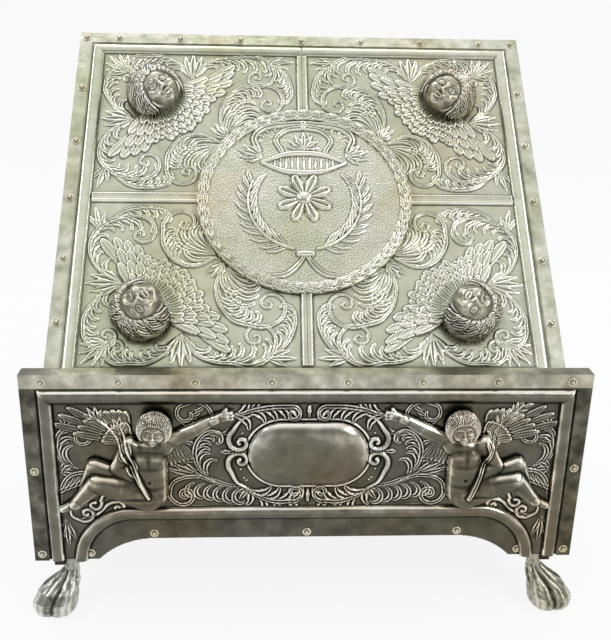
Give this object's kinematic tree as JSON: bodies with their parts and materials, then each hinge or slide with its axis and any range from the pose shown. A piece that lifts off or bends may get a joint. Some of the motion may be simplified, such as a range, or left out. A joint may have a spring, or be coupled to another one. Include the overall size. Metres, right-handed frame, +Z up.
{
  "type": "altar book stand",
  "caption": "Wooden altar book stand with a sloping desk behind a low front lip, clad in nailed, embossed silver sheet with raised cherub heads, on cast paw feet.",
  "frame": {"origin": "on the table, midway between the feet, below the middle of the stand's box", "axes": "+Z up, -Y to the front where the reader stands, +X to the right as seen from the front"},
  "size_m": [0.348, 0.244, 0.3412],
  "materials": {
    "desk_silver": "embossed silver sheet, bright on the ridges, grey-green tarnish in the hollows",
    "front_silver": "embossed silver sheet, browner tarnish, bright on the ridges",
    "cast_silver": "cast silver, rubbed",
    "nail_brass": "domed nail heads, dulled",
    "dark_wood": "dark stained wood, open grain"
  },
  "bodies": {
    "root": {"back_board": "dark_wood", "cartouche_boss": "front_silver", "cartouche_frame": "front_silver", "cherub_low_left": "desk_silver", "cherub_low_right": "desk_silver", "cherub_top_left": "desk_silver", "cherub_top_right": "desk_silver", "desk_board": "dark_wood", "desk_nails": "nail_brass", "desk_sheet": "desk_silver", "desk_strip_left": "desk_silver", "desk_strip_low": "desk_silver", "desk_strip_right": "desk_silver", "desk_strip_top": "desk_silver", "front_board": "dark_wood", "front_left_corner_block": "dark_wood", "front_left_foot": "cast_silver", "front_nails": "nail_brass", "front_right_corner_block": "dark_wood", "front_right_foot": "cast_silver", "front_sheet": "front_silver", "front_strip_left": "front_silver", "front_strip_right": "front_silver", "front_strip_top": "front_silver", "left_side_board": "dark_wood", "left_side_nails": "nail_brass", "left_side_sheet": "front_silver", "medallion_crown": "desk_silver", "medallion_palm_tie": "desk_silver", "medallion_palms": "desk_silver", "medallion_plate": "desk_silver", "medallion_rosette": "desk_silver", "medallion_wreath": "desk_silver", "putto_left": "front_silver", "putto_right": "front_silver", "rear_left_corner_block": "dark_wood", "rear_left_foot": "cast_silver", "rear_right_corner_block": "dark_wood", "rear_right_foot": "cast_silver", "right_side_board": "dark_wood", "right_side_nails": "nail_brass", "right_side_sheet": "front_silver", "wing_low_left_inner": "desk_silver", "wing_low_left_outer": "desk_silver", "wing_low_right_inner": "desk_silver", "wing_low_right_outer": "desk_silver", "wing_top_left_inner": "desk_silver", "wing_top_left_outer": "desk_silver", "wing_top_right_inner": "desk_silver", "wing_top_right_outer": "desk_silver"}
  },
  "joints": []
}
